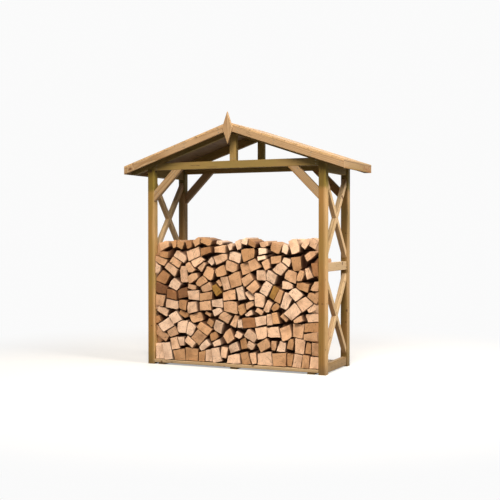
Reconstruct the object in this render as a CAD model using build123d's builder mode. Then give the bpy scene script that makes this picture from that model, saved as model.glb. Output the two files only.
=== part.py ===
"""An open-fronted timber log store with an apex roof and one row of split firewood.

Millimetres, +Z up, the open front faces -Y. The origin is the middle of the whole footprint on
the ground, so the store reaches the same distance to the left and right and to front and rear.
"""
from build123d import *
from math import atan2, cos, degrees, dist, radians, sin, sqrt, tan
from random import Random
import os

# Sizes over the posts
WIDTH = 1850
DEPTH = 690
POST = 70

# Heights of the horizontal members
TIE_Z = 1895
TIE = 70
TOP_RAIL_DROP = 57
BOTTOM_RAIL_Z = 12
MID_RAIL_SHARE = 0.504

# Sections of the other timbers
FRAME_T = 45
RAIL = 80
KING = 70
KNEE = 75
KNEE_LEG = 305
BRACE = 45
BRACE_END = 36
RAFTER = 75
ARRIS = 2.5

# Roof
PITCH = 18.5
RAFTER_SEAT = 36
SIDE_OVERHANG = 206
FRONT_OVERHANG = 108
TRIM_T = 20
BARGE = 57
ROOF_T = 17
ROOF_BOARDS = 10
TONGUE = 7
TONGUE_T = 6
GROOVE_FIT = 0.4
BOARD_V = 2

# Diamond finial on the front apex
FINIAL_HEIGHT = 294
FINIAL_WIDTH = 104
FINIAL_DROP = 34
FINIAL_BEVEL = 4

# Slatted floor
BEARER_W = 70
BEARER_T = 18
BEARER_INSET = 75
BEARER_SETBACK = 10
SLAT_T = 28
SLATS = 6
SLAT_GAP = 12
END_FIT = 0.3

# Split firewood, one row deep, its uneven top given from left to right against the stack's height
LOG_LENGTH = 250
LOG_LENGTH_SPREAD = 18
LOG_SETBACK = 20
LOG_STACK_HEIGHT = 1180
LOG_TOPS_LEFT = (-31, -11, -31, 15, -19, -17, 18, 30, 2, 8, -40, -42)
LOG_TOPS_RIGHT = (-22, 13, 25, -24, -36, -2, -26, -45, 16, 6, 8, 25, -10)
LOG_TOPS = LOG_TOPS_LEFT + LOG_TOPS_RIGHT
LOG_GAP = 0.3
LOG_SEED = 41

# Heaps across and up, how far their middles stray, and the section that is split again
HEAPS_ACROSS = 6
HEAPS_UP = 5
LOG_JITTER = 0.22
LOG_STAGGER = 0.25
LOG_LARGEST = (14500, 21500)

# Place and slant of a split, ridge of a log on top, and how far corners are worn
LOG_CUT = (0.4, 0.6)
LOG_CUT_SWING = 12
LOG_RIDGE = (0.25, 0.5, 0.75)
LOG_SHOULDER = (0, 22)
LOG_SLOPE = (2, 45)
LOG_BLUNT = 0.03
LOG_SHORTEST = 3

# Width, height and length of the small log on the rail, and its place behind the post
KINDLING = (36, 44)
KINDLING_LENGTH = 185
KINDLING_SETBACK = 15
KINDLING_WORN = 0.15

# Derived places
HALF = WIDTH / 2
INNER_X = HALF - POST
FRONT = -(TRIM_T + FRONT_OVERHANG + DEPTH + TRIM_T) / 2 + TRIM_T + FRONT_OVERHANG
REAR = FRONT + DEPTH
BAY_FRONT = FRONT + POST
BAY_REAR = REAR - POST
ROOF_FRONT = FRONT - FRONT_OVERHANG
ROOF_REAR = REAR + TRIM_T
EAVE_X = HALF + SIDE_OVERHANG
SLOPE = tan(radians(PITCH))
COS = cos(radians(PITCH))
RECESS = (POST - FRAME_T) / 2
SIDE_OUTER = HALF - RECESS
SIDE_INNER = SIDE_OUTER - FRAME_T
FLOOR_Z = BEARER_T + SLAT_T
TIE_TOP = TIE_Z + TIE
TOP_RAIL_Z = TIE_Z - TOP_RAIL_DROP
MID_RAIL_Z = BOTTOM_RAIL_Z + MID_RAIL_SHARE * (TOP_RAIL_Z - BOTTOM_RAIL_Z)
RAIL_UNDERSIDES = {"bottom": BOTTOM_RAIL_Z, "mid": MID_RAIL_Z, "top": TOP_RAIL_Z}
RIDGE_Z = TIE_Z + RAFTER_SEAT + SLOPE * INNER_X + RAFTER / COS
FASCIA_Z = RIDGE_Z - SLOPE * EAVE_X - BARGE / COS
FINIAL_Z = RIDGE_Z - FINIAL_DROP
BEARER_X = INNER_X - BEARER_INSET
SIDES = {"left": -1, "right": 1}
ENDS = {"front": FRONT, "rear": REAR - FRAME_T}


def roof_underside(x):
    """Height of the underside of the roof boards, which is the top of rafters and bargeboards."""
    return RIDGE_Z - SLOPE * abs(x)


def rafter_underside(x):
    return roof_underside(x) - RAFTER / COS


def profile_xz(outline, y_front, y_rear):
    """An upright board: an outline seen from the front, carried from y_front to y_rear."""
    with BuildPart() as board:
        with BuildSketch(Plane.XZ.offset(-y_rear)):
            with BuildLine():
                Polyline(*outline, close=True)
            make_face()
        extrude(amount=y_rear - y_front)
    return board


def profile_yz(outline, side, x_inner, x_outer):
    """A side-frame member: an outline seen from the side, between two distances from the middle."""
    near, far = sorted((side * x_inner, side * x_outer))
    with BuildPart() as member:
        with BuildSketch(Plane.YZ.offset(near)):
            with BuildLine():
                Polyline(*outline, close=True)
            make_face()
        extrude(amount=far - near)
    return member


def ease(piece, direction):
    """Takes the sharp arrises off the edges that run along a timber."""
    with piece:
        chamfer(piece.edges().filter_by(Axis((0, 0, 0), direction)), length=ARRIS)


def save(piece, name):
    piece.part.label = name
    export_step(piece.part, f"parts/{name}.step")


def make_posts():
    """Square posts, their tops cut to the rafters' slope."""
    for side_name, side in SIDES.items():
        outline = [
            (side * INNER_X, 0),
            (side * HALF, 0),
            (side * HALF, rafter_underside(HALF)),
            (side * INNER_X, rafter_underside(INNER_X)),
        ]
        for end, y_front in {"front": FRONT, "rear": REAR - POST}.items():
            post = profile_xz(outline, y_front, y_front + POST)
            ease(post, (0, 0, 1))
            save(post, f"post_{end}_{side_name}")


def make_tie_beams():
    """Beams between the posts, their upper corners cut to seat the rafters."""
    seat_x = (rafter_underside(0) - TIE_TOP) / SLOPE
    outline = [
        (-INNER_X, TIE_Z),
        (INNER_X, TIE_Z),
        (INNER_X, rafter_underside(INNER_X)),
        (seat_x, TIE_TOP),
        (-seat_x, TIE_TOP),
        (-INNER_X, rafter_underside(INNER_X)),
    ]
    for end, y_front in ENDS.items():
        beam = profile_xz(outline, y_front, y_front + FRAME_T)
        ease(beam, (1, 0, 0))
        save(beam, f"tie_beam_{end}")


def make_king_posts():
    """Short posts from the tie beams to the apex, pointed to fit under both rafters."""
    outline = [
        (-KING / 2, TIE_TOP),
        (KING / 2, TIE_TOP),
        (KING / 2, rafter_underside(KING / 2)),
        (0, rafter_underside(0)),
        (-KING / 2, rafter_underside(KING / 2)),
    ]
    for end, y_front in ENDS.items():
        king = profile_xz(outline, y_front, y_front + FRAME_T)
        ease(king, (0, 0, 1))
        save(king, f"king_post_{end}")


def make_knee_braces():
    """Braces at 45 degrees, mitred to the post's inner face and the beam's underside."""
    inner_leg = KNEE_LEG - KNEE * sqrt(2)
    for side_name, side in SIDES.items():
        outline = [
            (side * INNER_X, TIE_Z - KNEE_LEG),
            (side * INNER_X, TIE_Z - inner_leg),
            (side * (INNER_X - inner_leg), TIE_Z),
            (side * (INNER_X - KNEE_LEG), TIE_Z),
        ]
        for end, y_front in ENDS.items():
            brace = profile_xz(outline, y_front, y_front + FRAME_T)
            ease(brace, (-side, 0, 1))
            save(brace, f"knee_brace_{end}_{side_name}")


def make_rafters():
    """Rafters with a plumb cut at the apex, and feet cut level with the fascia's lower edge."""
    foot_x = EAVE_X - TRIM_T
    level_x = (rafter_underside(0) - FASCIA_Z) / SLOPE
    for side_name, side in SIDES.items():
        outline = [
            (0, roof_underside(0)),
            (side * foot_x, roof_underside(foot_x)),
            (side * foot_x, FASCIA_Z),
            (side * level_x, FASCIA_Z),
            (0, rafter_underside(0)),
        ]
        for end, y_front in ENDS.items():
            rafter = profile_xz(outline, y_front, y_front + FRAME_T)
            ease(rafter, (side, 0, -SLOPE))
            save(rafter, f"rafter_{end}_{side_name}")


def make_bargeboards():
    """Gable trim, mitred at the apex and plumb at the eaves."""
    for side_name, side in SIDES.items():
        outline = [
            (0, roof_underside(0)),
            (side * EAVE_X, roof_underside(EAVE_X)),
            (side * EAVE_X, FASCIA_Z),
            (0, roof_underside(0) - BARGE / COS),
        ]
        for end, y_front in {"front": ROOF_FRONT, "rear": REAR}.items():
            board = profile_xz(outline, y_front, y_front + TRIM_T)
            ease(board, (side, 0, -SLOPE))
            save(board, f"bargeboard_{end}_{side_name}")


def make_fascias():
    """Eave boards between the bargeboards, bevelled on top to the roof's slope."""
    inner_x = EAVE_X - TRIM_T
    for side_name, side in SIDES.items():
        outline = [
            (side * inner_x, FASCIA_Z),
            (side * EAVE_X, FASCIA_Z),
            (side * EAVE_X, roof_underside(EAVE_X)),
            (side * inner_x, roof_underside(inner_x)),
        ]
        fascia = profile_xz(outline, ROOF_FRONT + TRIM_T, REAR)
        save(fascia, f"fascia_{side_name}")


def board_section(index, board_width, slope_length):
    """Section of one roof board as (distance down the slope, height above the underside)."""
    start = index * board_width
    end = start + board_width
    middle = ROOF_T / 2
    low, high = middle - TONGUE_T / 2, middle + TONGUE_T / 2
    if index == 0:
        upper = [(0, 0), (-ROOF_T * SLOPE, ROOF_T)]
    else:
        edge = start + GROOVE_FIT / 2
        upper = [
            (edge + BOARD_V, 0), (edge, BOARD_V),
            (edge, low), (edge - TONGUE, low), (edge - TONGUE, high), (edge, high),
            (edge, ROOF_T - BOARD_V), (edge + BOARD_V, ROOF_T),
        ]
    if index == ROOF_BOARDS - 1:
        lower = [(slope_length - ROOF_T * SLOPE, ROOF_T), (slope_length, 0)]
    else:
        edge = end - GROOVE_FIT / 2
        depth = TONGUE + GROOVE_FIT
        lower = [
            (edge - BOARD_V, ROOF_T), (edge, ROOF_T - BOARD_V),
            (edge, high + GROOVE_FIT), (edge - depth, high + GROOVE_FIT),
            (edge - depth, low - GROOVE_FIT), (edge, low - GROOVE_FIT),
            (edge, BOARD_V), (edge - BOARD_V, 0),
        ]
    return upper + lower


def make_roof_boards():
    """Tongued and grooved boards that run from front to rear, ten to a slope."""
    slope_length = EAVE_X / COS
    board_width = slope_length / ROOF_BOARDS
    sine = SLOPE * COS
    for side_name, side in SIDES.items():
        with BuildPart() as slope:
            for index in range(ROOF_BOARDS):
                section = board_section(index, board_width, slope_length)
                outline = [(side * (s * COS + t * sine), RIDGE_Z - s * sine + t * COS) for s, t in section]
                with BuildSketch(Plane.XZ.offset(-ROOF_REAR)):
                    with BuildLine():
                        Polyline(*outline, close=True)
                    make_face()
                extrude(amount=ROOF_REAR - ROOF_FRONT)
        save(slope, f"roof_boards_{side_name}")


def make_finial():
    """A diamond on the front apex, bevelled round its face."""
    half_height, half_width = FINIAL_HEIGHT / 2, FINIAL_WIDTH / 2
    outline = [(0, half_height), (half_width, 0), (0, -half_height), (-half_width, 0)]
    with BuildPart() as finial:
        with BuildSketch(Plane((0, ROOF_FRONT, FINIAL_Z), x_dir=(1, 0, 0), z_dir=(0, -1, 0))):
            with BuildLine():
                Polyline(*outline, close=True)
            make_face()
        extrude(amount=TRIM_T)
        chamfer(finial.faces().sort_by(Axis.Y)[0].edges(), length=FINIAL_BEVEL)
    save(finial, "finial")


def make_side_rails():
    """Rails between front and rear posts, centred on the posts' thickness."""
    for side_name, side in SIDES.items():
        for level, underside in RAIL_UNDERSIDES.items():
            outline = [
                (BAY_FRONT, underside),
                (BAY_REAR, underside),
                (BAY_REAR, underside + RAIL),
                (BAY_FRONT, underside + RAIL),
            ]
            rail = profile_yz(outline, side, SIDE_INNER, SIDE_OUTER)
            ease(rail, (0, 1, 0))
            save(rail, f"side_rail_{level}_{side_name}")


def brace_outline(z_low, z_high, rising, grow=0.0):
    """A diagonal between the posts: its ends stop short of the rails by BRACE_END.

    rising is True for the one that climbs towards the rear; grow widens it on both edges.
    """
    height = z_high - z_low - 2 * BRACE_END
    span = BAY_REAR - BAY_FRONT
    slope = (height * span - BRACE * sqrt(height**2 + span**2 - BRACE**2)) / (span**2 - BRACE**2)
    upright = BRACE * sqrt(1 + slope**2)
    extra = grow * sqrt(1 + slope**2)
    low_start = z_low + BRACE_END
    low_end = low_start + slope * span
    start, end = (BAY_FRONT, BAY_REAR) if rising else (BAY_REAR, BAY_FRONT)
    return [
        (start, low_start - extra),
        (end, low_end - extra),
        (end, low_end + upright + extra),
        (start, low_start + upright + extra),
    ]


def make_cross_braces():
    """Two crossed diagonals in each side bay, halved over one another in one plane."""
    bays = {
        "lower": (RAIL_UNDERSIDES["bottom"] + RAIL, RAIL_UNDERSIDES["mid"]),
        "upper": (RAIL_UNDERSIDES["mid"] + RAIL, RAIL_UNDERSIDES["top"]),
    }
    middle_x = (SIDE_INNER + SIDE_OUTER) / 2
    halves = {"rising": (SIDE_INNER, middle_x), "falling": (middle_x, SIDE_OUTER)}
    for side_name, side in SIDES.items():
        for bay, (z_low, z_high) in bays.items():
            for lie, half in halves.items():
                rising = lie == "rising"
                whole = brace_outline(z_low, z_high, rising)
                lap = brace_outline(z_low, z_high, not rising, END_FIT / 2)
                steps = [(whole, (SIDE_INNER, SIDE_OUTER), Mode.ADD), (lap, half, Mode.SUBTRACT)]
                (y_start, z_start), (y_end, z_end) = whole[:2]
                with BuildPart() as brace:
                    for outline, reach, mode in steps:
                        near, far = sorted(side * x for x in reach)
                        with BuildSketch(Plane.YZ.offset(near)):
                            with BuildLine():
                                Polyline(*outline, close=True)
                            make_face()
                        extrude(amount=far - near, mode=mode)
                        if mode == Mode.ADD:
                            grain = Axis((0, 0, 0), (0, y_end - y_start, z_end - z_start))
                            chamfer(brace.edges().filter_by(grain), length=ARRIS)
                save(brace, f"cross_brace_{bay}_{lie}_{side_name}")


def make_floor():
    """Slats along the front, raised off the ground on three bearers laid flat."""
    bearer_length = DEPTH - 2 * BEARER_SETBACK
    for name, x in {"left": -BEARER_X, "middle": 0, "right": BEARER_X}.items():
        with BuildPart() as bearer:
            with Locations((x, (FRONT + REAR) / 2, 0)):
                Box(BEARER_W, bearer_length, BEARER_T, align=(Align.CENTER, Align.CENTER, Align.MIN))
        save(bearer, f"floor_bearer_{name}")
    slat = (DEPTH - (SLATS - 1) * SLAT_GAP) / SLATS
    with BuildPart() as slats:
        for index in range(SLATS):
            between_posts = index in (0, SLATS - 1)
            reach = (INNER_X if between_posts else SIDE_INNER) - END_FIT
            y_middle = FRONT + slat / 2 + index * (slat + SLAT_GAP)
            with Locations((0, y_middle, BEARER_T)):
                Box(2 * reach, slat, SLAT_T, align=(Align.CENTER, Align.CENTER, Align.MIN))
        chamfer(slats.edges().filter_by(Axis.X), length=ARRIS)
    save(slats, "floor_slats")


def clip(outline, px, pz, nx, nz):
    """The part of a convex outline behind the line through (px, pz) with outward normal (nx, nz)."""
    kept = []
    for (ax, az), (bx, bz) in zip(outline, outline[1:] + outline[:1]):
        da = (ax - px) * nx + (az - pz) * nz
        db = (bx - px) * nx + (bz - pz) * nz
        if da <= 0:
            kept.append((ax, az))
        if da * db < 0:
            share = da / (da - db)
            kept.append((ax + share * (bx - ax), az + share * (bz - az)))
    return kept


def area(outline):
    """Area of an outline that runs anticlockwise."""
    return sum(ax * bz - bx * az for (ax, az), (bx, bz) in zip(outline, outline[1:] + outline[:1])) / 2


def middle(outline):
    return [sum(values) / len(outline) for values in zip(*outline)]


def stack_top(x):
    """Height of the stack's uneven top, straight between the heights given across it."""
    place = (x / INNER_X + 1) / 2 * (len(LOG_TOPS) - 1)
    index = min(int(place), len(LOG_TOPS) - 2)
    share = place - index
    return FLOOR_Z + LOG_STACK_HEIGHT + (1 - share) * LOG_TOPS[index] + share * LOG_TOPS[index + 1]


def split_up(room, rng):
    """Logs split from a room, each cut about square to the longest side, until they are small."""
    if area(room) < rng.uniform(*LOG_LARGEST):
        return [room]
    start, end = max(zip(room, room[1:] + room[:1]), key=lambda side: dist(*side))
    angle = atan2(end[1] - start[1], end[0] - start[0])
    angle += radians(rng.uniform(-LOG_CUT_SWING, LOG_CUT_SWING))
    share = rng.uniform(*LOG_CUT)
    px, pz = [(a + share * (b - a) + c) / 2 for a, b, c in zip(start, end, middle(room))]
    nx, nz = cos(angle), sin(angle)
    return split_up(clip(room, px, pz, nx, nz), rng) + split_up(clip(room, px, pz, -nx, -nz), rng)


def ridged(outline, rng):
    """A log on top of the stack, cut to a ridge at the stack's top."""
    left, right = min(x for x, _ in outline), max(x for x, _ in outline)
    x = max((left + share * (right - left) for share in LOG_RIDGE), key=stack_top)
    for end, way in ((left, -1), (right, 1)):
        fall = stack_top(x) - stack_top(end) + rng.uniform(*LOG_SHOULDER)
        slope = degrees(atan2(fall, abs(end - x)))
        angle = radians(min(max(slope, LOG_SLOPE[0]), LOG_SLOPE[1]))
        outline = clip(outline, x, stack_top(x), way * sin(angle), cos(angle))
    return outline


def log_rooms():
    """Room for each log: the stack is parted into heaps, and the heaps are split into logs."""
    rng = Random(LOG_SEED)
    reach = INNER_X - END_FIT
    pitch_x = 2 * reach / HEAPS_ACROSS
    pitch_z = LOG_STACK_HEIGHT / HEAPS_UP
    centres = []
    for row in range(HEAPS_UP):
        shift = LOG_STAGGER if row % 2 else -LOG_STAGGER
        for column in range(HEAPS_ACROSS):
            x = -reach + (column + 0.5 + shift + rng.uniform(-LOG_JITTER, LOG_JITTER)) * pitch_x
            z = FLOOR_Z + (row + 0.5 + rng.uniform(-LOG_JITTER, LOG_JITTER)) * pitch_z
            centres.append((x, z))
    ceiling = FLOOR_Z + LOG_STACK_HEIGHT + max(LOG_TOPS)
    rooms = []
    for x, z in centres:
        heap = [(-reach, FLOOR_Z), (reach, FLOOR_Z), (reach, ceiling), (-reach, ceiling)]
        for other_x, other_z in centres:
            apart = dist((x, z), (other_x, other_z))
            if apart > 0:
                nx, nz = (other_x - x) / apart, (other_z - z) / apart
                heap = clip(heap, (x + other_x) / 2, (z + other_z) / 2, nx, nz)
        left, right = min(px for px, _ in heap), max(px for px, _ in heap)
        highest = max(stack_top(left + eighth / 8 * (right - left)) for eighth in range(9))
        heap = clip(heap, x, highest, 0, 1)
        for room in split_up(heap, rng):
            on_top = max(pz for _, pz in room) > highest - END_FIT
            rooms.append(ridged(room, rng) if on_top else room)
    return rooms


def inset(outline, distance):
    """The outline with every side moved inwards."""
    smaller = outline
    for (ax, az), (bx, bz) in zip(outline, outline[1:] + outline[:1]):
        length = dist((ax, az), (bx, bz))
        nx, nz = (bz - az) / length, (ax - bx) / length
        smaller = clip(smaller, ax - nx * distance, az - nz * distance, nx, nz)
    return smaller


def without_short_sides(outline):
    """The outline without the corners that nearly meet the one before."""
    return [end for start, end in zip(outline[-1:] + outline, outline) if dist(start, end) > LOG_SHORTEST]


def blunt(outline, share):
    """The outline with each corner cut off at the given share of both its edges."""
    cut = []
    count = len(outline)
    for index in range(count):
        before, corner, after = outline[index - 1], outline[index], outline[(index + 1) % count]
        for neighbour in (before, after):
            cut.append(tuple(c + share * (n - c) for c, n in zip(corner, neighbour)))
    return cut


def kindling_on_rail():
    """A small split log left lying on the right middle rail, beside the stack."""
    width, height = KINDLING
    x = INNER_X + END_FIT
    z = RAIL_UNDERSIDES["mid"] + RAIL
    worn = width * KINDLING_WORN
    outline = [(x, z), (x + width, z), (x + width - worn, z + height - worn), (x + worn, z + height)]
    y_front = BAY_FRONT + KINDLING_SETBACK
    return profile_xz(outline, y_front, y_front + KINDLING_LENGTH)


def make_firewood():
    """Split logs in two nodes, the lower and upper half, sawn ends towards the front."""
    rng = Random(LOG_SEED + 1)
    half_way = FLOOR_Z + LOG_STACK_HEIGHT / 2
    pieces = {"firewood_lower": [], "firewood_upper": [kindling_on_rail().part]}
    for room in log_rooms():
        section = blunt(without_short_sides(inset(room, LOG_GAP / 2)), LOG_BLUNT)
        y_front = FRONT + LOG_SETBACK + rng.uniform(-LOG_LENGTH_SPREAD, LOG_LENGTH_SPREAD)
        y_rear = FRONT + LOG_SETBACK + LOG_LENGTH + rng.uniform(-LOG_LENGTH_SPREAD, LOG_LENGTH_SPREAD)
        name = "firewood_lower" if middle(room)[1] < half_way else "firewood_upper"
        pieces[name].append(profile_xz(section, y_front, y_rear).part)
    for name, logs in pieces.items():
        with BuildPart() as stack:
            add(logs)
        save(stack, name)


os.makedirs("parts", exist_ok=True)

make_posts()
make_tie_beams()
make_king_posts()
make_knee_braces()
make_rafters()
make_bargeboards()
make_fascias()
make_roof_boards()
make_finial()
make_side_rails()
make_cross_braces()
make_floor()
make_firewood()
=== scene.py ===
"""Looks for an open-fronted timber log store: planed softwood, split firewood, fixings and a stage."""

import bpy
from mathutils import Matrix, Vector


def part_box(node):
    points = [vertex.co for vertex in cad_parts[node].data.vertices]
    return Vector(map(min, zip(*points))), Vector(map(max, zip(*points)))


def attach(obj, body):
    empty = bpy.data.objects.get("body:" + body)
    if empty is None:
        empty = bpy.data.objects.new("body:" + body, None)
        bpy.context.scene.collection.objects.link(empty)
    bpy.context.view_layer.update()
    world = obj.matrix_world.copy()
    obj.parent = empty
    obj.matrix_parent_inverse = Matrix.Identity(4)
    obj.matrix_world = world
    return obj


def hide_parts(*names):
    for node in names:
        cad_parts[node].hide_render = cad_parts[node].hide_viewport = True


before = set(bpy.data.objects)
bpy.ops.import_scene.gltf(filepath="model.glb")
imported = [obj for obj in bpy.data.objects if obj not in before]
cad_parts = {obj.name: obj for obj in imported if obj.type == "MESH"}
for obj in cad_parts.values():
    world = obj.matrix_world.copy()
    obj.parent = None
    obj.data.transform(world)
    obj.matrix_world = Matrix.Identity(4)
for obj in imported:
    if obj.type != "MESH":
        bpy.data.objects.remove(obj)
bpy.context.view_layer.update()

from functools import partial
from math import atan2, cos, dist, pi, radians, sin, sqrt, tan
from random import Random

import bpy
from bpy.props import FloatProperty, FloatVectorProperty, IntProperty, PointerProperty
from mathutils import Matrix, Vector

bl_info = {
    "name": "Timber log store",
    "version": (1, 0, 0),
    "blender": (4, 5, 0),
    "location": "View3D > Sidebar > Log store",
    "description": "Dresses a timber log store: wood, split firewood, screws and a studio stage",
    "category": "Add Mesh",
}


def linear(code):
    """A #rrggbb colour as the linear red, green, blue and alpha that shaders use."""
    channels = [int(code[i:i + 2], 16) / 255 for i in (1, 3, 5)]
    return [c / 12.92 if c <= 0.04045 else ((c + 0.055) / 1.055) ** 2.4 for c in channels] + [1.0]


def wood_colour(name, code, description):
    return FloatVectorProperty(
        name=name, description=description, subtype="COLOR", size=4, min=0, max=1, default=linear(code)
    )


def length(name, metres, description):
    return FloatProperty(name=name, description=description, unit="LENGTH", min=0, default=metres)


def turn_of(name, degrees, description):
    return FloatProperty(name=name, description=description, subtype="ANGLE", default=radians(degrees))


def power(name, watts, description):
    return FloatProperty(name=name, description=description, unit="POWER", default=watts)


# Places read from the frame, in metres

POST_LO, POST_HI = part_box("post_front_right")
REAR_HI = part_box("post_rear_right")[1]
BEAM_LO, BEAM_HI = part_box("tie_beam_front")
ROOF_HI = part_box("roof_boards_right")[1]
BARGE_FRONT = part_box("bargeboard_front_right")[0].y
SLATS_LO, SLATS_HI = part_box("floor_slats")
PILE_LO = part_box("firewood_lower")[0]
PILE_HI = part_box("firewood_upper")[1]
BEARER_X = sum(corner.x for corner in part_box("floor_bearer_right")) / 2

FRONT, REAR = POST_LO.y, REAR_HI.y
INNER_X = POST_LO.x
PILE_FRONT, PILE_REAR = PILE_LO.y, PILE_HI.y
RAIL_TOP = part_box("side_rail_mid_right")[1].z

# Sizes of the timbers, in metres, and counts: the same as in the solids

PITCH = radians(18.5)
POST = 0.07
RAIL = 0.08
RAFTER_T = 0.045
KNEE = 0.075
BARGE = 0.057
ROOF_T = 0.017
ROOF_BOARDS = 10
ROOF_PITCH = ROOF_HI.x / cos(PITCH) / ROOF_BOARDS
RIDGE_Z = ROOF_HI.z - ROOF_T / cos(PITCH)
SLATS = 6
SLAT_GAP = 0.012
SLAT_PITCH = (SLATS_HI.y - SLATS_LO.y + SLAT_GAP) / SLATS
# How much higher a cross brace's box is than the line along its middle
BRACE_ENDS = 0.06

# How the firewood is split and stacked: lengths in metres, angles in degrees; rooms for the logs are laid
# out as in the solids

# Play between the logs and what stands round them
FIT = 0.0003
# The stack's uneven top from the left to the right, above or below its mean height
TOPS = (-0.031, -0.011, -0.031, 0.015, -0.019, -0.017, 0.018, 0.030, 0.002, 0.008, -0.040, -0.042, -0.022,
        0.013, 0.025, -0.024, -0.036, -0.002, -0.026, -0.045, 0.016, 0.006, 0.008, 0.025, -0.010)
# Heaps: how far their middles stray, and how far one course is shifted over the next, in heaps
JITTER = 0.22
STAGGER = 0.25
# Splits: where along the longest side, and how far off square
CUT = (0.4, 0.6)
CUT_SWING = 12
# Logs on top: where their ridge may lie, how far their shoulders drop and how steeply
RIDGES = (0.25, 0.5, 0.75)
SHOULDER = (0, 0.022)
SLOPE = (2, 45)
# Heights to widths that a block is tried with, and how many turns up to half a turn
SHAPES = (0.6, 0.75, 0.9, 1.1, 1.35, 1.65)
TURNS = 24
# Dents along the split sides, how far ends stand back, and the few logs pushed in or with bark on
DENT = (-0.0022, 0.0004)
SETBACK = (0.002, 0.034)
PUSHED_IN = (0.01, 0.03)
FEW = 0.15

# How the framing is cut: start of the name, outer wood, olive tint and tone; the first that fits counts.
# The rear posts' low tone and the darker, greener sheltered wood are painted shade under the roof,
# together with the preservative's olive
TIMBERS = (
    ("post_front_left", "sap", 0.6, 1.17), ("post_front_right", "sap", 0.4, 0.96),
    ("post_rear", "sap", 0.65, 0.76), ("king_post", "sheltered", 0.95, 1.15),
    (("tie_beam", "rafter", "floor_bearer", "side_rail_top"), "sheltered", 0.52, 0.96),
    ("bargeboard", "board", 0.08, 0.93), ("knee_brace", "board", 0.3, 0.87),
    ("cross_brace", "fresh", 0.2, 1.0), ("side_rail_mid", "fresh", 0.12, 0.88),
    ("fascia_right", "board", 0.45, 0.87), ("", "board", 0.25, 1.0),
)

# Picks where in its log each timber is cut
CUTTING_SEED = 5

# Settings of nodes that come up often
RGBA = {"data_type": "RGBA"}
SMOOTH = {"interpolation_type": "SMOOTHSTEP"}


class TimberSettings(bpy.types.PropertyGroup):
    sap: wood_colour("Sapwood", "#cba473", "Outer wood of the posts")
    heart: wood_colour("Heartwood", "#8d6226", "Inner wood, near the pith")
    late: wood_colour("Late wood", "#7d572b", "Dark part of each growth ring")
    board: wood_colour("Boards", "#af916e", "Bargeboards, fascias and roof boards")
    fresh: wood_colour("Paler timber", "#ccb08a", "Cross braces, rails and floor slats")
    # Darker than the other wood: painted shade under the roof, with the preservative's olive
    sheltered: wood_colour("Sheltered wood", "#907846", "Beams and rafters under the roof")
    tint: wood_colour("Preservative", "#766a28", "Olive tint the preservative leaves")
    knot: wood_colour("Knots", "#5a371a", "Colour of the knots")
    soil: wood_colour("Splash", "#5e4c31", "Rain splash on the lowest part")
    rust: wood_colour("Rusty stain", "#7c4526", "Stains on the right fascia, worst at its rear end")
    # Painted shade of the roof on the posts' tops, with some damp: this colour multiplies theirs above the
    # height below
    damp: wood_colour("Damp", "#c2cd86", "What the damp under the eaves leaves of the posts' own colour")
    roof_shade_height: length("Damp height", 1.695, "Height above which the posts stay damp")
    ring: length("Ring spacing", 0.011, "Distance between growth rings, drawn coarse enough to show")
    knot_size: length("Knot radius", 0.011, "Radius of an average knot")
    splash: length("Splash height", 0.16, "How far up the splash reaches")


class FirewoodSettings(bpy.types.PropertyGroup):
    pale: wood_colour("Fresh wood", "#f9d8bc", "Palest logs")
    tan: wood_colour("Dry wood", "#e8bc96", "Most logs")
    brown: wood_colour("Brown wood", "#c6986c", "Darker logs")
    dark: wood_colour("Dark wood", "#a06f48", "Darkest dry logs")
    stained: wood_colour("Stained wood", "#6b432b", "A few damp logs")
    olive: wood_colour("Olive wood", "#a37b36", "A few greenish logs")
    heart: wood_colour("Late rings", "#8d5c34", "Dark part of the rings on a sawn end")
    bark: wood_colour("Bark", "#54402e", "Bark left on the rounded side")
    # This colour also paints the shade deep between the logs
    dust_and_shade: wood_colour("Dust", "#452313", "Dust and damp deep between the logs")
    across: IntProperty(name="Heaps across", description="Heaps side by side, each split into a few logs",
                        min=2, default=6)
    up: IntProperty(name="Heaps up", description="Heaps on top of one another", min=2, default=5)
    small: FloatProperty(name="Small section", description="No section below this size is split again",
                         unit="AREA", min=0.002, default=0.0145)
    large: FloatProperty(name="Large section", description="Every section above this size is split again",
                         unit="AREA", min=0.002, default=0.0215)
    height: length("Stack height", 1.18, "From the slats to the middle of the uneven top")
    gap: length("Gap", 0.009, "Space between neighbouring ends")
    slant: turn_of("Side slant", 4, "Largest turn of a split side in its place")
    fill: FloatProperty(name="Fill", description="How far a block overgrows the largest one its room holds",
                        min=0.8, max=2, default=1.22)
    tilt: turn_of("Saw tilt", 15, "Largest slant of a sawn end")
    seed: IntProperty(name="Seed", description="Picks another stack", default=41)


class FixingSettings(bpy.types.PropertyGroup):
    head: length("Head radius", 0.0045, "Radius of a screw head")
    proud: length("Head height", 0.0008, "How far a head stands out of the wood")
    socket: FloatProperty(name="Socket", description="Width of the socket as a share of the head",
                          min=0.1, max=0.9, default=0.5)
    zinc: wood_colour("Zinc", "#8d8a7c", "Dull zinc plating")


class StageSettings(bpy.types.PropertyGroup):
    floor: wood_colour("Floor", "#e9e7e2", "Pale studio floor")
    front: power("Front lamp", 800, "Power of the lamp in front")
    side: power("Side lamp", 800, "Power of the lamp on the right")
    rear: power("Rear lamp", 160, "Power of the lamp behind")
    sky: FloatProperty(name="Surround", description="Strength of the even light all round", default=0.27)


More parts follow.
